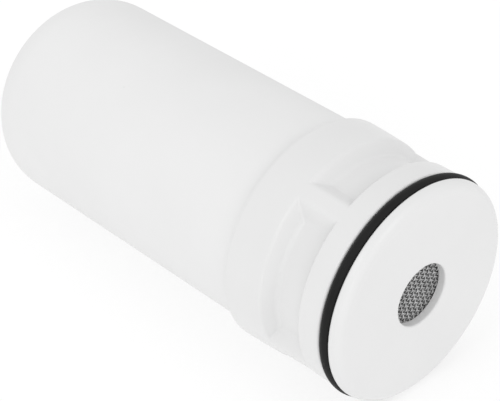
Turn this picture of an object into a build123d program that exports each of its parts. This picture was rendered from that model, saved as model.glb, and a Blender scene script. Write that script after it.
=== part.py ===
from build123d import *
import os
from math import atan2, cos, hypot, pi, radians, sin, sqrt

# Ceramic water filter cartridge lying on its side, in millimetres.
# Row frame: origin at the centre of the outlet face, +X out of the outlet, +Z up, dome towards -X.
# Every piece is turned about a local Z axis that runs back from the outlet face ("depth"),
# and is laid down at the end by lay_down().

# Whole cartridge
LENGTH = 108.0                  # outlet face to the top of the dome
BASE_RADIUS = 22.7              # end plate and flange
COLLAR_RADIUS = 23.5            # widest place of the base
CANDLE_RADIUS = 21.94

# Candle
CANDLE_WALL = 6.4
DOME_CORNER_RADIUS = 10.87      # round between the side and the crown
DOME_CROWN_RADIUS = 34.8
CANDLE_FOOT = 21.2              # depth of the open foot
FOOT_ROUND = 0.8

# End plate with the outlet port
PLATE_THICKNESS = 2.45
PLATE_FRONT_ROUND = 1.95
PLATE_BACK_ROUND = 0.45
PORT_RADIUS = 6.45
PORT_LENGTH = 1.75
PORT_EDGE_ROUND = 0.45
BOSS_OUTER_RADIUS = 9.0
BOSS_INNER_RADIUS = 7.45
BOSS_END = 7.5

# Seal
SEAL_SECTION_RADIUS = 1.1
SEAL_OUTER_RADIUS = 23.08
GROOVE_END = 4.7                # front wall of the flange
GROOVE_FLOOR_RADIUS = SEAL_OUTER_RADIUS - 2 * SEAL_SECTION_RADIUS

# Base cup
FLANGE_END = 9.98
FLANGE_EDGE_ROUND = 0.5
COLLAR_PEAK = 26.6              # depth of the widest place
CUP_END = 28.2
CUP_LIP_ROUND = 0.3
CUP_FLOOR_END = 4.9
CHAMBER_RADIUS = 18.4
LEDGE = 20.2                    # depth of the ledge that carries the candle
SOCKET_RADIUS = 22.35
FIT_GAP = 0.05
BEAD_HEIGHT = 0.9               # adhesive bead above the collar's lip

# Recesses round the base, with a rib between each two
RECESS_COUNT = 4
RIB_WIDTH_ANGLE = 8.4           # across the top of a rib, in degrees
RIB_SLOPE_ANGLE = 6.2           # taken up by each of a rib's sloping sides, in degrees
FIRST_RIB_ANGLE = -31.1
RECESS_FLOOR_RADIUS = 20.4
RECESS_CREASE = 17.3            # depth where the floor starts to ramp out
RECESS_END = 19.3
RECESS_INNER_ROUND = 0.7
RECESS_LIP_ROUND = 0.3
CHAMBER_CORNER_ROUND = 1.1
CUTTER_MARGIN = 2.0             # how far the recess cutter reaches outside the collar
TOLERANCE = 0.02                # for telling which edges lie on the outside

# Screens and their holders
SCREEN_THICKNESS = 0.7
RETAINER_BORE_RADIUS = 6.4
RETAINER_END = 6.6
PLUG_FLANGE_RADIUS = 18.25
PLUG_FLANGE_START = 18.6
PLUG_SPIGOT_RADIUS = 15.4
PLUG_SPIGOT_WALL = 1.5
PLUG_END = 25.2
PLUG_HOLE_RADIUS = 1.1
PLUG_HOLE_RINGS = ((1, 0.0), (6, 3.9), (12, 7.8), (18, 11.6))
FINE_SCREEN_THICKNESS = 0.4

# Media stack inside the candle
MEDIA_RADIUS = 15.4
PAD_THICKNESS = 2.5
BALL_RADIUS = 2.5
BALL_LAYERS = 2
BALL_LAYER_PITCH = 5.1
BALL_RINGS = ((3, 3.0), (9, 7.85), (15, 12.85))
KDF_BED_LENGTH = 10.0
DOME_PAD_START = 94.0


def outline(*points):
    """Closed straight-sided outline through (radius, depth) points."""
    return make_face(Polyline(*points, close=True))


def rounded(shape, corner, radius):
    """The outline with its corner nearest to the given point rounded."""
    nearest = min(shape.vertices(), key=lambda v: hypot(v.X - corner[0], v.Y - corner[1]))
    return fillet(nearest, radius)


def turned(shape, angle=360.0):
    """Solid made by turning a (radius, depth) outline about the cartridge's axis."""
    return revolve(Plane.XZ * shape, Axis.Z, angle)


def ring(inner, outer, start, end):
    """Plain ring or, with no inner radius, a plain disc."""
    return turned(outline((inner, start), (outer, start), (outer, end), (inner, end)))


def dome_outline(side_radius, inset, start):
    """Outline of a solid plug whose end follows the candle's dome, inset from the outside."""
    corner = DOME_CORNER_RADIUS - inset
    crown = DOME_CROWN_RADIUS - inset
    crown_centre = LENGTH - DOME_CROWN_RADIUS
    corner_offset = CANDLE_RADIUS - DOME_CORNER_RADIUS
    rise = sqrt((DOME_CROWN_RADIUS - DOME_CORNER_RADIUS) ** 2 - corner_offset**2)
    corner_depth = crown_centre + rise
    tangent_angle = atan2(rise, corner_offset)
    middle_angle = tangent_angle / 2
    crown_middle = (tangent_angle + pi / 2) / 2
    side_top = (side_radius, corner_depth)
    corner_mid = (
        corner_offset + corner * cos(middle_angle),
        corner_depth + corner * sin(middle_angle),
    )
    tangent = (
        corner_offset + corner * cos(tangent_angle),
        corner_depth + corner * sin(tangent_angle),
    )
    crown_mid = (crown * cos(crown_middle), crown_centre + crown * sin(crown_middle))
    top = (0.0, crown_centre + crown)
    edges = [
        Line((0.0, start), (side_radius, start)),
        Line((side_radius, start), side_top),
        ThreePointArc(side_top, corner_mid, tangent),
        ThreePointArc(tangent, crown_mid, top),
        Line(top, (0.0, start)),
    ]
    return make_face(edges)


def ceramic_candle():
    """Porous ceramic shell: a straight tube closed by a shallow dome."""
    shell = dome_outline(CANDLE_RADIUS, 0.0, CANDLE_FOOT)
    shell = rounded(shell, (CANDLE_RADIUS, CANDLE_FOOT), FOOT_ROUND)
    below_foot = CANDLE_FOOT - FOOT_ROUND
    hollow = dome_outline(CANDLE_RADIUS - CANDLE_WALL, CANDLE_WALL, below_foot)
    return turned(shell) - turned(hollow)


def outlet_disc():
    """End plate with the outlet port and the boss that passes through the cup's floor."""
    shape = outline(
        (PORT_RADIUS, 0.0),
        (BASE_RADIUS, 0.0),
        (BASE_RADIUS, PLATE_THICKNESS),
        (BOSS_OUTER_RADIUS - FIT_GAP, PLATE_THICKNESS),
        (BOSS_OUTER_RADIUS - FIT_GAP, BOSS_END),
        (BOSS_INNER_RADIUS, BOSS_END),
        (BOSS_INNER_RADIUS, PORT_LENGTH),
        (PORT_RADIUS, PORT_LENGTH),
    )
    shape = rounded(shape, (BASE_RADIUS, 0.0), PLATE_FRONT_ROUND)
    shape = rounded(shape, (BASE_RADIUS, PLATE_THICKNESS), PLATE_BACK_ROUND)
    shape = rounded(shape, (PORT_RADIUS, 0.0), PORT_EDGE_ROUND)
    return turned(shape)


def collar_radius(depth):
    """Radius of the base's outside, which widens evenly from the flange to the collar's peak."""
    rise = (depth - FLANGE_END) / (COLLAR_PEAK - FLANGE_END)
    return BASE_RADIUS + (COLLAR_RADIUS - BASE_RADIUS) * rise


def cup_body():
    """The base cup before its recesses are cut."""
    shape = outline(
        (BOSS_OUTER_RADIUS, PLATE_THICKNESS),
        (GROOVE_FLOOR_RADIUS, PLATE_THICKNESS),
        (GROOVE_FLOOR_RADIUS, GROOVE_END),
        (BASE_RADIUS, GROOVE_END),
        (BASE_RADIUS, FLANGE_END),
        (COLLAR_RADIUS, COLLAR_PEAK),
        (COLLAR_RADIUS, CUP_END),
        (SOCKET_RADIUS, CUP_END),
        (SOCKET_RADIUS, LEDGE),
        (CHAMBER_RADIUS, LEDGE),
        (CHAMBER_RADIUS, CUP_FLOOR_END),
        (BOSS_OUTER_RADIUS, CUP_FLOOR_END),
    )
    shape = rounded(shape, (BASE_RADIUS, GROOVE_END), FLANGE_EDGE_ROUND)
    shape = rounded(shape, (COLLAR_RADIUS, CUP_END), CUP_LIP_ROUND)
    shape = rounded(shape, (CHAMBER_RADIUS, CUP_FLOOR_END), CHAMBER_CORNER_ROUND)
    return turned(shape)


def polar(radius, angle):
    """(x, y) of a point at a radius and an angle in degrees."""
    return Vector(radius * cos(radians(angle)), radius * sin(radians(angle)))


def recess_wedge(clear):
    """Upright wedge with sloping sides that bounds one recess sideways, centred on +X."""
    rim_angle = (360.0 / RECESS_COUNT - RIB_WIDTH_ANGLE) / 2
    floor_angle = rim_angle - RIB_SLOPE_ANGLE
    floor = polar(RECESS_FLOOR_RADIUS, floor_angle)
    rim = polar(BASE_RADIUS, rim_angle)
    outer = rim + (rim - floor) * 2
    tip = Vector(2 * clear, 0.0)
    one_side = [floor, outer]
    other_side = [Vector(outer.X, -outer.Y), Vector(floor.X, -floor.Y)]
    face = make_face(Polyline(Vector(0.0, 0.0), *one_side, tip, *other_side, close=True))
    return extrude(face, CUP_END)


def recess_cutter():
    """Solid that one recess leaves: a floor that ramps out, between sloping sides."""
    clear = COLLAR_RADIUS + CUTTER_MARGIN
    slope = (collar_radius(RECESS_END) - RECESS_FLOOR_RADIUS) / (RECESS_END - RECESS_CREASE)
    ramp_end = RECESS_CREASE + (clear - RECESS_FLOOR_RADIUS) / slope
    shape = outline(
        (RECESS_FLOOR_RADIUS, FLANGE_END),
        (RECESS_FLOOR_RADIUS, RECESS_CREASE),
        (clear, ramp_end),
        (clear, FLANGE_END),
    )
    shape = rounded(shape, (RECESS_FLOOR_RADIUS, RECESS_CREASE), RECESS_INNER_ROUND)
    cutter = turned(shape) & recess_wedge(clear)

    def inner_side(edge):
        """Where a sloping side meets the floor or the ramp."""
        start, middle, end = (edge @ t for t in (0.0, 0.5, 1.0))
        lengthwise = abs(end.Z - start.Z) > TOLERANCE
        inside = all(hypot(p.X, p.Y) < clear - TOLERANCE for p in (start, middle))
        off_centre = abs(middle.Y) > BASE_RADIUS / 2
        return lengthwise and inside and off_centre

    cutter = fillet(cutter.edges().filter_by(inner_side), RECESS_INNER_ROUND)
    first_middle = FIRST_RIB_ANGLE + 180.0 / RECESS_COUNT
    return Rot(0, 0, first_middle) * cutter


def base_cup():
    """Moulded base: seal land, flange, ribs and recesses, collar, ledge and socket."""
    cup = cup_body()
    cutter = recess_cutter()
    for index in range(RECESS_COUNT):
        cup -= Rot(0, 0, index * 360.0 / RECESS_COUNT) * cutter

    def on_outside(edge):
        points = [edge @ t for t in (0.1, 0.5, 0.9)]
        return all(
            abs(hypot(p.X, p.Y) - collar_radius(p.Z)) < TOLERANCE
            and FLANGE_END - TOLERANCE < p.Z < RECESS_END + TOLERANCE
            for p in points
        )

    return fillet(cup.edges().filter_by(on_outside), RECESS_LIP_ROUND)


def o_ring():
    """Round-section seal lying on the groove floor between the end plate and the flange."""
    middle = (PLATE_THICKNESS + GROOVE_END) / 2
    section = Pos(SEAL_OUTER_RADIUS - SEAL_SECTION_RADIUS, middle) * Circle(SEAL_SECTION_RADIUS)
    return turned(section)


def potting_ring():
    """Adhesive between candle and socket, with a bead at the collar's lip."""
    shape = outline(
        (CANDLE_RADIUS, CANDLE_FOOT + FOOT_ROUND),
        (SOCKET_RADIUS, CANDLE_FOOT + FOOT_ROUND),
        (SOCKET_RADIUS, CUP_END),
        (CANDLE_RADIUS, CUP_END + BEAD_HEIGHT),
    )
    return turned(shape)


def outlet_screen():
    """Woven outlet screen as a plain disc of its full thickness."""
    return ring(0.0, BOSS_INNER_RADIUS - FIT_GAP, PORT_LENGTH, PORT_LENGTH + SCREEN_THICKNESS)


def screen_retainer():
    """Ring pressed into the boss behind the screen, with a lead-in at its inner end."""
    start = PORT_LENGTH + SCREEN_THICKNESS
    lead_in = 0.7
    return turned(
        outline(
            (RETAINER_BORE_RADIUS, start),
            (BOSS_INNER_RADIUS - FIT_GAP, start),
            (BOSS_INNER_RADIUS - FIT_GAP, RETAINER_END),
            (RETAINER_BORE_RADIUS + lead_in, RETAINER_END),
            (RETAINER_BORE_RADIUS, RETAINER_END - 2 * lead_in),
        )
    )


def foot_gasket():
    """Soft ring between the ledge and the candle's foot."""
    return ring(CHAMBER_RADIUS + FIT_GAP, CANDLE_RADIUS - FOOT_ROUND, LEDGE, CANDLE_FOOT)


def media_retainer():
    """Plug with a perforated plate, whose spigot fits into the candle's open foot."""
    bore = PLUG_SPIGOT_RADIUS - PLUG_SPIGOT_WALL
    plug = turned(
        outline(
            (0.0, PLUG_FLANGE_START),
            (PLUG_FLANGE_RADIUS, PLUG_FLANGE_START),
            (PLUG_FLANGE_RADIUS, CANDLE_FOOT),
            (PLUG_SPIGOT_RADIUS, CANDLE_FOOT),
            (PLUG_SPIGOT_RADIUS, PLUG_END),
            (bore, PLUG_END),
            (bore, LEDGE),
            (0.0, LEDGE),
        )
    )
    depth = LEDGE - PLUG_FLANGE_START
    hole = Pos(0, 0, PLUG_FLANGE_START + depth / 2) * Cylinder(PLUG_HOLE_RADIUS, 2 * depth)
    holes = [Pos(x, y, 0) * hole for x, y in ring_places(PLUG_HOLE_RINGS)]
    return plug - holes


def ring_places(rings):
    """Places spread evenly round several circles, each given as (count, radius)."""
    return [
        (radius * cos(2 * pi * index / count), radius * sin(2 * pi * index / count))
        for count, radius in rings
        for index in range(count)
    ]


def ball_bed(start):
    """Layers of separate balls, packed in rings."""
    ball = Sphere(BALL_RADIUS)
    balls = []
    for layer in range(BALL_LAYERS):
        depth = start + BALL_RADIUS + layer * BALL_LAYER_PITCH
        balls += [Pos(x, y, depth) * ball for x, y in ring_places(BALL_RINGS)]
    return Compound([piece.solid() for piece in balls])


def media_stack():
    """Pads and media from the plug up to the dome, each on top of the one before."""
    bed_height = 2 * BALL_RADIUS + (BALL_LAYERS - 1) * BALL_LAYER_PITCH
    stack = {}
    depth = PLUG_END
    for medium, height in (("mineral", bed_height), ("sulfite", bed_height), ("kdf", KDF_BED_LENGTH)):
        stack[medium + "_pad"] = ring(0.0, MEDIA_RADIUS, depth, depth + PAD_THICKNESS)
        depth += PAD_THICKNESS
        if medium == "kdf":
            stack["kdf_bed"] = ring(0.0, MEDIA_RADIUS, depth, depth + height)
        else:
            stack[medium + "_balls"] = ball_bed(depth)
        depth += height
    stack["carbon_pad"] = ring(0.0, MEDIA_RADIUS, depth, depth + PAD_THICKNESS)
    stack["carbon_bed"] = ring(0.0, MEDIA_RADIUS, depth + PAD_THICKNESS, DOME_PAD_START)
    clearance = CANDLE_RADIUS - CANDLE_WALL - MEDIA_RADIUS
    stack["dome_pad"] = turned(dome_outline(MEDIA_RADIUS, CANDLE_WALL + clearance, DOME_PAD_START))
    return stack


def pieces():
    """Every piece by its node name, in the local frame."""
    plug_bore = PLUG_SPIGOT_RADIUS - PLUG_SPIGOT_WALL - FIT_GAP
    fine_screen_end = LEDGE + FINE_SCREEN_THICKNESS
    parts = {
        "ceramic_candle": ceramic_candle(),
        "base_cup": base_cup(),
        "outlet_disc": outlet_disc(),
        "o_ring": o_ring(),
        "outlet_screen": outlet_screen(),
        "screen_retainer": screen_retainer(),
        "potting_ring": potting_ring(),
        "foot_gasket": foot_gasket(),
        "media_retainer": media_retainer(),
        "retainer_screen": ring(0.0, plug_bore, LEDGE, fine_screen_end),
        "plug_pad": ring(0.0, plug_bore, fine_screen_end, PLUG_END),
        "polishing_pad": ring(0.0, CHAMBER_RADIUS - FIT_GAP, BOSS_END, PLUG_FLANGE_START),
    }
    parts.update(media_stack())
    return parts


def lay_down(piece):
    """Turn the local frame so that depth runs towards -X and the local X axis points up."""
    return Rot(0, -90, 0) * piece


def main():
    os.makedirs("parts", exist_ok=True)
    for node, piece in pieces().items():
        export_step(lay_down(piece), f"parts/{node}.step")


main()
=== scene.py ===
import math

import bmesh
import bpy
from mathutils import Matrix, Vector, geometry, noise


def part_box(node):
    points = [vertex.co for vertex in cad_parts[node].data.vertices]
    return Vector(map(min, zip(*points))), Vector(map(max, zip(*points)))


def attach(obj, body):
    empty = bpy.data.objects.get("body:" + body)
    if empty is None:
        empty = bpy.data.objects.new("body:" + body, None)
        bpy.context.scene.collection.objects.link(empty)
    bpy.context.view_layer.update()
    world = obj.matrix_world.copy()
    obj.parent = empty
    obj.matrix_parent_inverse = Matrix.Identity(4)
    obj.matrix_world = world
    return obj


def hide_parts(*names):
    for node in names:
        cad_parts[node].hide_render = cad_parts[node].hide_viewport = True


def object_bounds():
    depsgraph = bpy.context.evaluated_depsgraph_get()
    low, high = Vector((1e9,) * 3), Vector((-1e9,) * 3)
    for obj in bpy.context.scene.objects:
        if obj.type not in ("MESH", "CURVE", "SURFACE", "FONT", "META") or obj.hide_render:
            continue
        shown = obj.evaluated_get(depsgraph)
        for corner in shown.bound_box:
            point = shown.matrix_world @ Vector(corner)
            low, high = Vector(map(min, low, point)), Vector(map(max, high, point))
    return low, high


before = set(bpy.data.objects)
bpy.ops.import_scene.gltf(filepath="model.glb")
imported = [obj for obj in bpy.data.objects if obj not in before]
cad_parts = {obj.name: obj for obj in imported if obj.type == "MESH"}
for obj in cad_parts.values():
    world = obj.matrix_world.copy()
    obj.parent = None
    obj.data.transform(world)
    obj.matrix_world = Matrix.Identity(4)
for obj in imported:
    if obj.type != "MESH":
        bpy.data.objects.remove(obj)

# A ceramic water filter cartridge lying on its side. Lengths are in metres.
# The axis is the X axis: depth runs back from the outlet face towards -X.

cad_low, cad_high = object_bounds()

MM = 0.001
BODY = "root"

# Camera and light
CAMERA_AZIMUTH = math.radians(46.13)
CAMERA_ELEVATION = math.radians(35.42)
CAMERA_DISTANCE = 0.3250
CAMERA_AIM = Vector((-29.3, -15.85, 14.26)) * MM
CAMERA_LENS = 127.3
CAMERA_NEAR = 0.01
CAMERA_FAR = 20.0
SOFTBOX_SIZE = 0.5
SOFTBOX_DISTANCE = 1.2
SOFTBOXES = {               # azimuth and elevation in degrees, power in watts
    "front_low_softbox": (46, 12, 0.85),
    "left_softbox": (1, 40, 1.5),
    "outlet_softbox": (92, 38, 1.35),
    "dome_softbox": (-89, 12, 0.75),
}
WORLD_STRENGTH = 0.88

# How finely the pieces are made
ROUND_STEPS = 192
CUP_STEPS = 648
PAD_STEPS = 96
BED_STEPS = 180
CORNER_POINTS = 7
CIRCLE_PULL = 0.5523            # handle length that makes a Bezier corner round
SHARP_ANGLE = math.radians(38)
WELD_DISTANCE = 0.0002 * MM

# Candle
CANDLE_WALL = 6.4 * MM
CANDLE_FOOT_ROUND = 0.8 * MM
CANDLE_FIRST_RING = 3.0 * MM    # behind the foot
CANDLE_SIDE_POINTS = 24
DOME_CORNER_RADIUS = 10.87 * MM
DOME_CORNER_POINTS = 22
DOME_CROWN_RADIUS = 34.8 * MM
DOME_CROWN_POINTS = 16

# End plate, its port and its boss
PLATE_FRONT_ROUND = 1.95 * MM
PLATE_BACK_ROUND = 0.45 * MM
PORT_RADIUS = 6.45 * MM
PORT_EDGE_ROUND = 0.45 * MM
BOSS_GAP = 0.05 * MM            # between the screen and the boss round it
BOSS_WALL = 1.5 * MM

# Base: outside, from the seal groove to the collar's lip
GROOVE_GAP = 0.025 * MM         # behind the seal
FLANGE_FRONT_ROUND = 0.5 * MM
FLANGE_END = 9.98 * MM
FLANGE_BACK_ROUND = 0.5 * MM
COLLAR_PEAK = 26.6 * MM
COLLAR_PEAK_ROUND = 1.5 * MM
COLLAR_LIP_ROUND = 0.3 * MM

# Base: inside
SOCKET_RADIUS = 22.35 * MM
SOCKET_LEDGE = 20.2 * MM
CHAMBER_RADIUS = 18.4 * MM
CHAMBER_START = 4.9 * MM
CHAMBER_CORNER_ROUND = 1.1 * MM
BASE_BOSS_GAP = 1.6 * MM        # from the screen's edge to the hole for the boss

# Recesses in the base
RECESS_COUNT = 4
RIB_WIDTH_ANGLE = math.radians(8.4)
RIB_SLOPE_ANGLE = math.radians(6.2)
FIRST_RIB_ANGLE = math.radians(31.1)
RIB_SIDE_SOFTNESS = 0.22        # rounding at the slope's top and foot, in slope widths
RECESS_DEPTH = 2.3 * MM
RECESS_CREASE = 17.3 * MM
RECESS_END = 19.3 * MM
RECESS_LIP_ROUND = 0.45 * MM
RECESS_CORNER_ROUND = 0.5 * MM
RECESS_CREASE_ROUND = 0.7 * MM
RECESS_END_ROUND = 0.4 * MM
RESHAPED_START = 8.8 * MM       # the stretch of the outside that the recesses change
RESHAPED_END = 21.0 * MM
RESHAPED_POINTS = 64
SMALLEST_MOVE = 0.02 * MM       # depth below which a slope gets no narrower

# Adhesive above the collar's lip
BEAD_SHOULDER = 0.12 * MM
BEAD_RISE = 0.3 * MM
BEAD_ROUND = 0.25 * MM
BEAD_FEATHER = 0.004 * MM       # thickness of its thin end on the candle

# Seal ring
SEAL_SECTION_POINTS = 33

# Woven outlet screen
WIRE_RADIUS = 0.165 * MM
WARP_PITCH = 0.79 * MM
WEFT_PITCH = 0.87 * MM
WARP_ANGLE = math.radians(149.4)
WEFT_ANGLE = math.radians(58.6)
SCREEN_MARGIN = 0.1 * MM
POINTS_PER_CROSSING = 12
FEWEST_WIRE_POINTS = 8
WIRE_BEVEL_STEPS = 2

# Pads and beds of granules
PAD_MARGIN = 0.12 * MM
PAD_EDGE_ROUND = 1.0 * MM
PAD_EDGE_SHARE = 0.4            # most of a thin pad's height that the round may take
PAD_OUTLINE_POINTS = 40
DOME_PAD_FACE_POINTS = 20
PAD_LUMP = 0.1 * MM
DOME_PAD_LUMP = 0.08 * MM
PAD_LUMPS_PER_METRE = 900
BED_EDGE_ROUND = 0.3 * MM
BED_POINT_SPACING = 0.45 * MM
BED_PIT_SHARE = 0.5             # depth of a pit between grains, in grains
CARBON_GRAIN = 1.3 * MM
COPPER_ZINC_GRAIN = 0.9 * MM

# Floor
FLOOR_REACH = 4.0               # from its middle to each side
FLOOR_TONE = 0.35
FLOOR_GLOW = 0.66


# ---------------------------------------------------------------- outlines


def half_plane(radius, depth):
    """Point of the half plane that is turned about the axis."""
    return Vector((-depth, 0.0, radius))


def rounded_path(corners):
    """Open outline through (radius, depth, size of round) corners, in the half plane."""
    points = [half_plane(radius, depth) for radius, depth, _ in corners]
    path = [points[0]]
    for before, corner, after, (_, _, size) in zip(points, points[1:], points[2:], corners[1:]):
        if size == 0:
            path.append(corner)
            continue
        start = corner + (before - corner).normalized() * size
        end = corner + (after - corner).normalized() * size
        start_handle = start.lerp(corner, CIRCLE_PULL)
        end_handle = end.lerp(corner, CIRCLE_PULL)
        path += geometry.interpolate_bezier(start, start_handle, end_handle, end, CORNER_POINTS)
    path.append(points[-1])
    return path


def evenly(path, count):
    """The same outline with this many points, spread evenly along it."""
    lengths = [0.0]
    for a, b in zip(path, path[1:]):
        lengths.append(lengths[-1] + (b - a).length)
    spread = []
    leg = 0
    for index in range(count):
        distance = lengths[-1] * index / (count - 1)
        while leg < len(path) - 2 and lengths[leg + 1] < distance:
            leg += 1
        share = (distance - lengths[leg]) / (lengths[leg + 1] - lengths[leg])
        spread.append(path[leg].lerp(path[leg + 1], share))
    return spread


def arc(centre, radius, start, end, count):
    """Points of an arc in the half plane, with angles measured from the radius axis."""
    angles = [start + (end - start) * index / (count - 1) for index in range(count)]
    return [centre + half_plane(math.cos(a), math.sin(a)) * radius for a in angles]


# ---------------------------------------------------------------- meshes


def turn(path, closed=True, steps=ROUND_STEPS):
    """A bmesh made by turning an outline a full circle about the axis.

    Each vertex keeps the number of the outline point that it comes from.
    """
    bm = bmesh.new()
    number = bm.verts.layers.int.new("outline_point")
    verts = [bm.verts.new(point) for point in path]
    for index, vert in enumerate(verts):
        vert[number] = index
    edges = [bm.edges.new(pair) for pair in zip(verts, verts[1:])]
    if closed:
        edges.append(bm.edges.new((verts[-1], verts[0])))
    bmesh.ops.spin(
        bm,
        geom=verts + edges,
        cent=(0, 0, 0),
        axis=(1, 0, 0),
        dvec=(0, 0, 0),
        angle=math.tau,
        steps=steps,
        use_merge=True,
    )
    bmesh.ops.remove_doubles(bm, verts=bm.verts[:], dist=WELD_DISTANCE)
    bmesh.ops.recalc_face_normals(bm, faces=bm.faces[:])
    return bm


def finish_piece(bm, name, material, stands_for):
    """Turns a bmesh into a smooth-shaded piece that replaces a CAD node."""
    for face in bm.faces:
        face.smooth = True
    for edge in bm.edges:
        if len(edge.link_faces) == 2 and edge.calc_face_angle() > SHARP_ANGLE:
            edge.smooth = False
    mesh = bpy.data.meshes.new(name)
    bm.to_mesh(mesh)
    bm.free()
    piece = bpy.data.objects.new(name, mesh)
    bpy.context.scene.collection.objects.link(piece)
    mesh.materials.append(material)
    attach(piece, BODY)
    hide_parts(stands_for)
    return piece


def span(node):
    """(outer radius, start depth, end depth) of a CAD node."""
    low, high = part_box(node)
    return max(high.z, high.y, -low.z, -low.y), -high.x, -low.x


# ---------------------------------------------------------------- shader groups

# Numbers of the mix node's sockets when it mixes colours
MIX_COLOR_A = 6
MIX_COLOR_B = 7
MIX_COLOR_RESULT = 2


def new_group(name, inputs, outputs):
    """An empty shader node group, and its nodes for what is given and what results."""
    group = bpy.data.node_groups.new(name, "ShaderNodeTree")
    for label, default in inputs:
        kind = "NodeSocketFloat" if isinstance(default, float) else "NodeSocketColor"
        socket = group.interface.new_socket(label, in_out="INPUT", socket_type=kind)
        socket.default_value = default
    for label, kind in outputs:
        group.interface.new_socket(label, in_out="OUTPUT", socket_type=kind)
    return group, group.nodes.new("NodeGroupInput"), group.nodes.new("NodeGroupOutput")


def add(tree, kind, inputs=(), **settings):
    """A node with its settings and its input values or links."""
    node = tree.nodes.new(kind)
    for key, value in settings.items():
        setattr(node, key, value)
    for key, value in dict(inputs).items():
        if isinstance(value, bpy.types.NodeSocket):
            tree.links.new(value, node.inputs[key])
        else:
            node.inputs[key].default_value = value
    return node


def object_point(tree):
    return add(tree, "ShaderNodeTexCoord").outputs["Object"]


def noise_of(tree, scale, detail=2.0, roughness=0.5):
    inputs = {"Vector": object_point(tree), "Scale": scale, "Detail": detail, "Roughness": roughness}
    return add(tree, "ShaderNodeTexNoise", inputs).outputs["Fac"]


def remap(tree, value, low, high, to_low=0.0, to_high=1.0):
    inputs = {
        "Value": value,
        "From Min": low,
        "From Max": high,
        "To Min": to_low,
        "To Max": to_high,
    }
    return add(tree, "ShaderNodeMapRange", inputs).outputs["Result"]


def combine(tree, operation, first, second):
    return add(tree, "ShaderNodeMath", {0: first, 1: second}, operation=operation).outputs[0]


def mixed(tree, share, first, second):
    """A colour between two others."""
    inputs = {"Factor": share, MIX_COLOR_A: first, MIX_COLOR_B: second}
    return add(tree, "ShaderNodeMix", inputs, data_type="RGBA").outputs[MIX_COLOR_RESULT]


def grain_group():
    """Fine grain: a height for bump and a colour that varies a little between two tones."""
    group, given, result = new_group(
        "fine_grain",
        [
            ("Scale", 1500.0),
            ("Blotch Scale", 60.0),
            ("Tone A", (0.8, 0.8, 0.8, 1.0)),
            ("Tone B", (0.75, 0.75, 0.75, 1.0)),
            ("Rough Low", 0.5),
            ("Rough High", 0.6),
        ],
        [("Color", "NodeSocketColor"), ("Roughness", "NodeSocketFloat"), ("Height", "NodeSocketFloat")],
    )
    fine = noise_of(group, given.outputs["Scale"], detail=3.0, roughness=0.6)
    blotch = noise_of(group, given.outputs["Blotch Scale"], detail=3.0, roughness=0.5)
    share = remap(group, blotch, low=0.35, high=0.65)
    color = mixed(group, share, given.outputs["Tone A"], given.outputs["Tone B"])
    rough = remap(group, fine, 0.3, 0.7, given.outputs["Rough Low"], given.outputs["Rough High"])
    group.links.new(color, result.inputs["Color"])
    group.links.new(rough, result.inputs["Roughness"])
    group.links.new(fine, result.inputs["Height"])
    return group


def speck_group():
    """Small scattered specks: a mask that is 1 inside a speck, and a pit height."""
    group, given, result = new_group(
        "scattered_specks",
        [("Scale", 400.0), ("Size", 0.16), ("Share", 0.2)],
        [("Mask", "NodeSocketFloat"), ("Height", "NodeSocketFloat")],
    )
    inputs = {"Vector": object_point(group), "Scale": given.outputs["Scale"]}
    cells = add(group, "ShaderNodeTexVoronoi", inputs)
    inside = remap(group, cells.outputs["Distance"], low=given.outputs["Size"], high=0.0)
    split = add(group, "ShaderNodeSeparateColor", {"Color": cells.outputs["Color"]})
    chosen = combine(group, "LESS_THAN", split.outputs[0], given.outputs["Share"])
    mask = combine(group, "MULTIPLY", inside, chosen)
    group.links.new(mask, result.inputs["Mask"])
    group.links.new(combine(group, "SUBTRACT", 1.0, mask), result.inputs["Height"])
    return group


# Turn of each layer of fibres in radians, and how far its noise is squeezed to make strands
FIBRE_LAYERS = ((0.4, 0.12), (1.5, 0.1), (2.6, 0.14))
FIBRE_TILTS = (1.0, 0.7, 1.3)


def fibre_group():
    """Matted fibres: crossed stretched noises that give a height and a light and dark mix."""
    group, given, result = new_group(
        "matted_fibres",
        [("Scale", 900.0)],
        [("Height", "NodeSocketFloat"), ("Mix", "NodeSocketFloat")],
    )
    heights = []
    for turn_angle, squeeze in FIBRE_LAYERS:
        inputs = {
            "Vector": object_point(group),
            "Rotation": [turn_angle * tilt for tilt in FIBRE_TILTS],
            "Scale": (1.0, squeeze, 1.0),
        }
        mapping = add(group, "ShaderNodeMapping", inputs)
        strand_inputs = {"Vector": mapping.outputs[0], "Scale": given.outputs["Scale"], "Detail": 2.0}
        heights.append(add(group, "ShaderNodeTexNoise", strand_inputs).outputs["Fac"])
    top = combine(group, "MAXIMUM", combine(group, "MAXIMUM", heights[0], heights[1]), heights[2])
    group.links.new(top, result.inputs["Height"])
    group.links.new(remap(group, top, low=0.45, high=0.75), result.inputs["Mix"])
    return group


GRAIN = grain_group()
SPECKS = speck_group()
FIBRES = fibre_group()


# ---------------------------------------------------------------- materials


def new_material(name, **constants):
    """A material with its Principled shader, whose constants are set on its own sockets."""
    material = bpy.data.materials.new(name)
    material.use_nodes = True
    shader = material.node_tree.nodes["Principled BSDF"]
    for key, value in constants.items():
        shader.inputs[key.replace("_", " ")].default_value = value
    return material, material.node_tree, shader


def put_group(tree, group, **values):
    """A shader group in a material, with the values of its inputs."""
    node = tree.nodes.new("ShaderNodeGroup")
    node.node_tree = group
    for key, value in values.items():
        node.inputs[key.replace("_", " ")].default_value = value
    return node


def bump(tree, shader, height, distance):
    """Surface relief of this depth in metres."""
    inputs = {"Height": height, "Distance": distance, "Strength": 1.0}
    node = add(tree, "ShaderNodeBump", inputs)
    tree.links.new(node.outputs["Normal"], shader.inputs["Normal"])


def grey(value, warmth=0.0):
    """A grey, which turns a little yellow with warmth."""
    return (value + warmth, value, value - warmth, 1.0)


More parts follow.
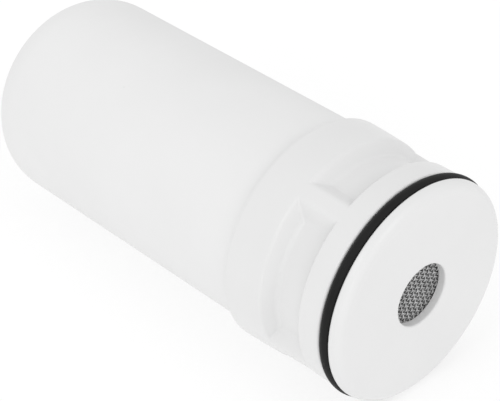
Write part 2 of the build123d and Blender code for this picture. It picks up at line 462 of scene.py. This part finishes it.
def grained(name, tones, roughness, grain_scale, blotch_scale, depth, specks=None, **constants):
    """Material with fine grain in its colour, roughness and bump.

    Specks, where given, are small pits of another tone.
    """
    material, tree, shader = new_material(name, **constants)
    grain = put_group(
        tree,
        GRAIN,
        Scale=grain_scale,
        Blotch_Scale=blotch_scale,
        Tone_A=tones[0],
        Tone_B=tones[1],
        Rough_Low=roughness[0],
        Rough_High=roughness[1],
    )
    color = grain.outputs["Color"]
    height = grain.outputs["Height"]
    if specks:
        pits = put_group(
            tree, SPECKS, Scale=specks["scale"], Size=specks["size"], Share=specks["share"]
        )
        color = mixed(tree, pits.outputs["Mask"], color, specks["tone"])
        height = combine(tree, "ADD", height, pits.outputs["Height"])
    tree.links.new(color, shader.inputs["Base Color"])
    tree.links.new(grain.outputs["Roughness"], shader.inputs["Roughness"])
    bump(tree, shader, height, depth)
    return material


def fibre_material():
    """White non-woven fibre."""
    material, tree, shader = new_material("pad_fibre", Roughness=0.95, Sheen_Weight=0.3)
    fibres = put_group(tree, FIBRES, Scale=900.0)
    color = mixed(tree, fibres.outputs["Mix"], grey(0.62), grey(0.86))
    tree.links.new(color, shader.inputs["Base Color"])
    bump(tree, shader, fibres.outputs["Height"], 0.3 * MM)
    return material


CERAMIC = grained(
    "ceramic_shell",
    tones=(grey(0.80), grey(0.785)),
    roughness=(0.85, 0.97),
    grain_scale=2600.0,
    blotch_scale=45.0,
    depth=0.012 * MM,
    specks={"tone": grey(0.70), "scale": 300.0, "size": 0.09, "share": 0.07},
    Specular_IOR_Level=0.25,
)
BASE_PLASTIC = grained(
    "base_plastic",
    tones=(grey(0.76), grey(0.75)),
    roughness=(0.30, 0.38),
    grain_scale=1400.0,
    blotch_scale=70.0,
    depth=0.002 * MM,
    Specular_IOR_Level=0.5,
)
RUBBER = grained(
    "seal_rubber",
    tones=(grey(0.006), grey(0.010)),
    roughness=(0.5, 0.66),
    grain_scale=3000.0,
    blotch_scale=90.0,
    depth=0.012 * MM,
    specks={"tone": grey(0.025), "scale": 700.0, "size": 0.14, "share": 0.12},
    Specular_IOR_Level=0.2,
)
STEEL = grained(
    "steel_wire",
    tones=(grey(0.36), grey(0.50)),
    roughness=(0.28, 0.42),
    grain_scale=3500.0,
    blotch_scale=500.0,
    depth=0.006 * MM,
    Metallic=1.0,
)
INNER_PLASTIC = grained(
    "inner_plastic",
    tones=(grey(0.74), grey(0.71)),
    roughness=(0.45, 0.6),
    grain_scale=1400.0,
    blotch_scale=80.0,
    depth=0.01 * MM,
)
ADHESIVE = grained(
    "adhesive",
    tones=(grey(0.79, 0.003), grey(0.77, 0.004)),
    roughness=(0.4, 0.55),
    grain_scale=700.0,
    blotch_scale=120.0,
    depth=0.01 * MM,
)
GASKET = grained(
    "soft_gasket",
    tones=(grey(0.7, 0.01), grey(0.66, 0.01)),
    roughness=(0.7, 0.85),
    grain_scale=1800.0,
    blotch_scale=90.0,
    depth=0.02 * MM,
)
FIBRE = fibre_material()
MINERAL = grained(
    "mineral_ceramic",
    tones=((0.42, 0.27, 0.16, 1.0), (0.30, 0.19, 0.12, 1.0)),
    roughness=(0.7, 0.9),
    grain_scale=1600.0,
    blotch_scale=220.0,
    depth=0.05 * MM,
    specks={"tone": (0.14, 0.09, 0.06, 1.0), "scale": 900.0, "size": 0.25, "share": 0.35},
)
SULFITE = grained(
    "sulfite_ceramic",
    tones=(grey(0.80, 0.01), grey(0.74, 0.02)),
    roughness=(0.75, 0.95),
    grain_scale=1700.0,
    blotch_scale=200.0,
    depth=0.05 * MM,
    specks={"tone": grey(0.58, 0.02), "scale": 1000.0, "size": 0.22, "share": 0.3},
)
COPPER_ZINC = grained(
    "copper_zinc",
    tones=((0.55, 0.36, 0.14, 1.0), (0.38, 0.24, 0.10, 1.0)),
    roughness=(0.35, 0.6),
    grain_scale=2200.0,
    blotch_scale=600.0,
    depth=0.06 * MM,
    specks={"tone": (0.72, 0.55, 0.28, 1.0), "scale": 1500.0, "size": 0.35, "share": 0.4},
    Metallic=0.9,
)
CARBON = grained(
    "carbon_granules",
    tones=(grey(0.03), grey(0.015)),
    roughness=(0.6, 0.9),
    grain_scale=1500.0,
    blotch_scale=500.0,
    depth=0.08 * MM,
    specks={"tone": grey(0.09), "scale": 1100.0, "size": 0.3, "share": 0.3},
)


# ---------------------------------------------------------------- candle


def dome(inset):
    """Outline of the dome from the end of the straight side to the axis, inset from outside."""
    side, _, length = span("ceramic_candle")
    corner_offset = side - DOME_CORNER_RADIUS
    crown_centre = half_plane(0.0, length - DOME_CROWN_RADIUS)
    reach = DOME_CROWN_RADIUS - DOME_CORNER_RADIUS
    meeting = math.acos(corner_offset / reach)
    corner_centre = crown_centre + half_plane(math.cos(meeting), math.sin(meeting)) * reach
    corner_radius = DOME_CORNER_RADIUS - inset
    crown_radius = DOME_CROWN_RADIUS - inset
    corner = arc(corner_centre, corner_radius, 0.0, meeting, DOME_CORNER_POINTS)
    crown = arc(crown_centre, crown_radius, meeting, math.pi / 2, DOME_CROWN_POINTS)
    return corner + crown[1:]


def ceramic_candle():
    """Domed shell with its real wall, open at the foot."""
    side, foot, _ = span("ceramic_candle")
    bore = side - CANDLE_WALL
    foot_corners = [
        (bore, foot, 0),
        (side, foot, CANDLE_FOOT_ROUND),
        (side, foot + CANDLE_FIRST_RING, 0),
    ]
    rim = rounded_path(foot_corners)
    outer_dome = dome(0.0)
    inner_dome = dome(CANDLE_WALL)
    outer_side = evenly([rim[-1], outer_dome[0]], CANDLE_SIDE_POINTS)
    inner_side = evenly([inner_dome[0], half_plane(bore, foot)], CANDLE_SIDE_POINTS)
    path = rim + outer_side[1:-1] + outer_dome + inner_dome[::-1] + inner_side[1:-1]
    finish_piece(turn(path), "candle_shell", CERAMIC, "ceramic_candle")


# ---------------------------------------------------------------- end plate, seal and screen


def end_plate():
    """Outlet face with its rounded rim, the port, and the boss behind it."""
    rim, front, boss_end = span("outlet_disc")
    back = span("base_cup")[1]
    screen_seat = span("outlet_screen")[1]
    boss_bore = span("outlet_screen")[0] + BOSS_GAP
    boss_outer = boss_bore + BOSS_WALL
    path = rounded_path(
        [
            (boss_bore, boss_end, 0),
            (boss_bore, screen_seat, 0),
            (PORT_RADIUS, screen_seat, 0),
            (PORT_RADIUS, front, PORT_EDGE_ROUND),
            (rim, front, PLATE_FRONT_ROUND),
            (rim, back, PLATE_BACK_ROUND),
            (boss_outer, back, 0),
            (boss_outer, boss_end, 0),
        ]
    )
    finish_piece(turn(path), "end_plate", BASE_PLASTIC, "outlet_disc")


def seal_ring():
    """O-ring of round section."""
    outer, start, end = span("o_ring")
    section = (end - start) / 2
    centre = half_plane(outer - section, (start + end) / 2)
    path = arc(centre, section, -math.pi, math.pi, SEAL_SECTION_POINTS)[:-1]
    finish_piece(turn(path), "seal_ring", RUBBER, "o_ring")


def wire_points(offset, pitch, along, across, over_first, reach):
    """Centre line of one wire, which passes over and under the wires that cross it."""
    half = math.sqrt(max(reach**2 - offset**2, 0.0))
    count = max(int(half / pitch * POINTS_PER_CROSSING), FEWEST_WIRE_POINTS)
    low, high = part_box("outlet_screen")
    middle = (low.x + high.x) / 2
    points = []
    for index in range(count + 1):
        travel = -half + 2 * half * index / count
        lift = WIRE_RADIUS * math.cos(math.pi * travel / pitch) * over_first
        points.append(along * travel + across * offset + Vector((middle + lift, 0.0, 0.0)))
    return points


def outlet_screen():
    """Plain weave of round steel wires."""
    reach = span("outlet_screen")[0] - SCREEN_MARGIN
    curve = bpy.data.curves.new("woven_screen", "CURVE")
    curve.dimensions = "3D"
    curve.bevel_depth = WIRE_RADIUS
    curve.bevel_resolution = WIRE_BEVEL_STEPS
    curve.use_fill_caps = True
    warp = Vector((0.0, math.cos(WARP_ANGLE), math.sin(WARP_ANGLE)))
    weft = Vector((0.0, math.cos(WEFT_ANGLE), math.sin(WEFT_ANGLE)))
    for along, across, own, other, start in (
        (warp, weft, WARP_PITCH, WEFT_PITCH, 1),
        (weft, warp, WEFT_PITCH, WARP_PITCH, -1),
    ):
        number = int(reach / own)
        for index in range(-number, number + 1):
            side = start if index % 2 == 0 else -start
            points = wire_points(index * own, other, along, across, side, reach)
            spline = curve.splines.new("POLY")
            spline.points.add(len(points) - 1)
            for target, point in zip(spline.points, points):
                target.co = (*point, 1.0)
    wires = bpy.data.objects.new("woven_screen_line", curve)
    bpy.context.scene.collection.objects.link(wires)
    bm = bmesh.new()
    bm.from_mesh(bpy.data.meshes.new_from_object(wires))
    bpy.data.objects.remove(wires)
    finish_piece(bm, "woven_screen", STEEL, "outlet_screen")


# ---------------------------------------------------------------- base cup


def climb_beside_rib(angle):
    """How far an angle is down the nearest rib's sloping side: 0 at its top, 1 at the floor."""
    pitch = math.tau / RECESS_COUNT
    from_rib = abs((angle - FIRST_RIB_ANGLE + pitch / 2) % pitch - pitch / 2)
    return (from_rib - RIB_WIDTH_ANGLE / 2) / RIB_SLOPE_ANGLE


def eased(value, softness):
    """The value kept between 0 and 1, with each of the two corners rounded over a softness."""

    def area(t):
        return 0.0 if t < 0 else t * t / 2 if t < 1 else t - 0.5

    return (area(value + softness) - area(value - softness)) / (2 * softness)


def rib_radius(depth):
    """Outside radius through a rib, between the flange's back and the collar's peak."""
    flange = span("outlet_disc")[0]
    widest = span("base_cup")[0]
    return flange + (widest - flange) * (depth - FLANGE_END) / (COLLAR_PEAK - FLANGE_END)


def cup_front():
    """Outline from the hole for the boss, past the seal groove, to the reshaped stretch."""
    _, start, _ = span("base_cup")
    flange = span("outlet_disc")[0]
    seal_outer, seal_start, seal_end = span("o_ring")
    boss_hole = span("outlet_screen")[0] + BASE_BOSS_GAP
    land = seal_outer - (seal_end - seal_start)
    groove_end = seal_end + GROOVE_GAP
    corners = [
        (boss_hole, start, 0),
        (land, start, 0),
        (land, groove_end, 0),
        (flange, groove_end, FLANGE_FRONT_ROUND),
        (flange, RESHAPED_START, 0),
    ]
    return rounded_path(corners)[:-1]


def cup_stretches():
    """Outlines of the reshaped stretch, through a rib and through a recess."""
    flange = span("outlet_disc")[0]
    floor_radius = flange - RECESS_DEPTH
    start = (flange, RESHAPED_START, 0)
    end = (rib_radius(RESHAPED_END), RESHAPED_END, 0)
    through_rib = [start, (flange, FLANGE_END, FLANGE_BACK_ROUND), end]
    through_recess = [
        start,
        (flange, FLANGE_END, RECESS_LIP_ROUND),
        (floor_radius, FLANGE_END, RECESS_CORNER_ROUND),
        (floor_radius, RECESS_CREASE, RECESS_CREASE_ROUND),
        (rib_radius(RECESS_END), RECESS_END, RECESS_END_ROUND),
        end,
    ]
    return [evenly(rounded_path(way), RESHAPED_POINTS) for way in (through_rib, through_recess)]


def cup_back():
    """Outline from the reshaped stretch over the collar and back through the inside."""
    widest, _, end = span("base_cup")
    boss_hole = span("outlet_screen")[0] + BASE_BOSS_GAP
    corners = [
        (rib_radius(RESHAPED_END), RESHAPED_END, 0),
        (widest, COLLAR_PEAK, COLLAR_PEAK_ROUND),
        (widest, end, COLLAR_LIP_ROUND),
        (SOCKET_RADIUS, end, 0),
        (SOCKET_RADIUS, SOCKET_LEDGE, 0),
        (CHAMBER_RADIUS, SOCKET_LEDGE, 0),
        (CHAMBER_RADIUS, CHAMBER_START, CHAMBER_CORNER_ROUND),
        (boss_hole, CHAMBER_START, 0),
    ]
    return rounded_path(corners)[1:]


def base_cup():
    """Moulded base, turned in one piece and then pushed in between the ribs."""
    front = cup_front()
    through_rib, through_recess = cup_stretches()
    bm = turn(front + through_rib + cup_back(), steps=CUP_STEPS)
    number = bm.verts.layers.int["outline_point"]
    for vert in bm.verts:
        place = vert[number] - len(front)
        if not 0 <= place < RESHAPED_POINTS:
            continue
        move = through_recess[place] - through_rib[place]
        # Where the recess is shallower, the slope is as steep and so ends sooner
        deepening = RECESS_DEPTH / max(abs(move.z), SMALLEST_MOVE)
        climb = climb_beside_rib(math.atan2(-vert.co.y, vert.co.z))
        share = eased(climb * deepening, RIB_SIDE_SOFTNESS * deepening)
        radius = math.hypot(vert.co.y, vert.co.z)
        scale = (radius + move.z * share) / radius
        vert.co = Vector((vert.co.x + move.x * share, vert.co.y * scale, vert.co.z * scale))
    finish_piece(bm, "base_moulding", BASE_PLASTIC, "base_cup")


def adhesive_bead():
    """Bead of adhesive above the collar's lip, hollow towards the candle."""
    outer, start, end = span("potting_ring")
    candle = span("ceramic_candle")[0]
    lip = span("base_cup")[2]
    corners = [
        (candle, start, 0),
        (outer, start, 0),
        (outer, lip, 0),
        (candle + BEAD_SHOULDER, lip + BEAD_RISE, BEAD_ROUND),
        (candle + BEAD_FEATHER, end, 0),
        (candle, end, 0),
    ]
    bm = turn(rounded_path(corners))
    finish_piece(bm, "adhesive_bead", ADHESIVE, "potting_ring")


# ---------------------------------------------------------------- filling


def felt(node, outline, lump_size):
    """Non-woven pad of this outline, with a lumpy surface."""
    bm = turn(outline, closed=False, steps=PAD_STEPS)
    for vert in bm.verts:
        lump = noise.noise(vert.co * PAD_LUMPS_PER_METRE) * lump_size
        vert.co += Vector((lump, 0.0, 0.0))
    piece = finish_piece(bm, node + "_felt", FIBRE, node)


def fibre_pad(node):
    """Round pad with soft edges, inside its CAD solid."""
    outer, start, end = span(node)
    soft = min(PAD_EDGE_ROUND, (end - start) * PAD_EDGE_SHARE)
    corners = [
        (0.0, start + PAD_MARGIN, 0),
        (outer - PAD_MARGIN, start + PAD_MARGIN, soft),
        (outer - PAD_MARGIN, end - PAD_MARGIN, soft),
        (0.0, end - PAD_MARGIN, 0),
    ]
    felt(node, evenly(rounded_path(corners), PAD_OUTLINE_POINTS), PAD_LUMP)


def dome_pad():
    """Pad that fills the inside of the dome."""
    _, start, _ = span("dome_pad")
    dome_side = dome(CANDLE_WALL + PAD_MARGIN * 2)
    face_depth = start + PAD_MARGIN
    face = [half_plane(0.0, face_depth), half_plane(dome_side[0].z, face_depth)]
    felt("dome_pad", evenly(face, DOME_PAD_FACE_POINTS) + dome_side, DOME_PAD_LUMP)


def granule_bed(node, material, grain):
    """Bed of loose granules as one lumpy closed solid."""
    outer, start, end = span(node)
    corners = [
        (0.0, start, 0),
        (outer, start, BED_EDGE_ROUND),
        (outer, end, BED_EDGE_ROUND),
        (0.0, end, 0),
    ]
    count = int((outer * 2 + end - start) / BED_POINT_SPACING)
    bm = turn(evenly(rounded_path(corners), count), closed=False, steps=BED_STEPS)
    for vert in bm.verts:
        distance = noise.voronoi(vert.co / grain)[0][0]
        vert.co -= vert.normal * min(distance, 1.0) * grain * BED_PIT_SHARE
    finish_piece(bm, node + "_grains", material, node)


def filling():
    """Every pad and bed inside the cartridge."""
    for node in ("polishing_pad", "plug_pad", "mineral_pad", "sulfite_pad", "kdf_pad", "carbon_pad"):
        fibre_pad(node)
    dome_pad()
    granule_bed("carbon_bed", CARBON, CARBON_GRAIN)
    granule_bed("kdf_bed", COPPER_ZINC, COPPER_ZINC_GRAIN)


def carried_over():
    """CAD nodes whose shape is right get their real finish."""
    finishes = {
        "screen_retainer": INNER_PLASTIC,
        "media_retainer": INNER_PLASTIC,
        "foot_gasket": GASKET,
        "retainer_screen": STEEL,
        "mineral_balls": MINERAL,
        "sulfite_balls": SULFITE,
    }
    for node, material in finishes.items():
        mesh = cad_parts[node].data
        mesh.materials.clear()
        mesh.materials.append(material)


# ---------------------------------------------------------------- stage


def direction(azimuth, elevation):
    """Unit vector from the object; azimuth 0 points to -Y and a quarter turn to +X."""
    flat = math.cos(elevation)
    return Vector((flat * math.sin(azimuth), -flat * math.cos(azimuth), math.sin(elevation)))


def camera():
    """Long lens that looks at the outlet face and the upper front of the cartridge."""
    data = bpy.data.cameras.new("camera")
    data.lens = CAMERA_LENS
    data.clip_start = CAMERA_NEAR
    data.clip_end = CAMERA_FAR
    eye = bpy.data.objects.new("camera", data)
    eye.location = CAMERA_AIM + direction(CAMERA_AZIMUTH, CAMERA_ELEVATION) * CAMERA_DISTANCE
    eye.rotation_euler = (math.pi / 2 - CAMERA_ELEVATION, 0.0, CAMERA_AZIMUTH)
    bpy.context.scene.collection.objects.link(eye)
    bpy.context.scene.camera = eye


def floor():
    """Plain pale floor at the object's lowest point."""
    bm = bmesh.new()
    level = Matrix.Translation((0.0, 0.0, cad_low.z))
    bmesh.ops.create_grid(bm, x_segments=1, y_segments=1, size=FLOOR_REACH, matrix=level)
    mesh = bpy.data.meshes.new("floor")
    bm.to_mesh(mesh)
    bm.free()
    plane = bpy.data.objects.new("floor", mesh)
    bpy.context.scene.collection.objects.link(plane)
    material, _, _ = new_material(
        "floor_white",
        Base_Color=grey(FLOOR_TONE),
        Roughness=1.0,
        Specular_IOR_Level=0.0,
        Emission_Color=grey(1.0),
        Emission_Strength=FLOOR_GLOW,
    )
    mesh.materials.append(material)


def softbox(name, azimuth, elevation, power):
    """Square area light that faces the object."""
    data = bpy.data.lights.new(name, "AREA")
    data.size = SOFTBOX_SIZE
    data.energy = power
    lamp = bpy.data.objects.new(name, data)
    lamp.location = direction(azimuth, elevation) * SOFTBOX_DISTANCE
    lamp.rotation_euler = (-lamp.location).to_track_quat("-Z", "Y").to_euler()
    bpy.context.scene.collection.objects.link(lamp)


def studio():
    """White surroundings and the four softboxes."""
    world = bpy.data.worlds.new("studio")
    bpy.context.scene.world = world
    world.use_nodes = True
    background = world.node_tree.nodes["Background"]
    background.inputs["Color"].default_value = grey(1.0)
    background.inputs["Strength"].default_value = WORLD_STRENGTH
    for name, (azimuth, elevation, power) in SOFTBOXES.items():
        softbox(name, math.radians(azimuth), math.radians(elevation), power)
    bpy.context.scene.view_settings.view_transform = "Standard"


def main():
    camera()
    floor()
    studio()
    ceramic_candle()
    end_plate()
    seal_ring()
    outlet_screen()
    base_cup()
    adhesive_bead()
    filling()
    carried_over()


main()
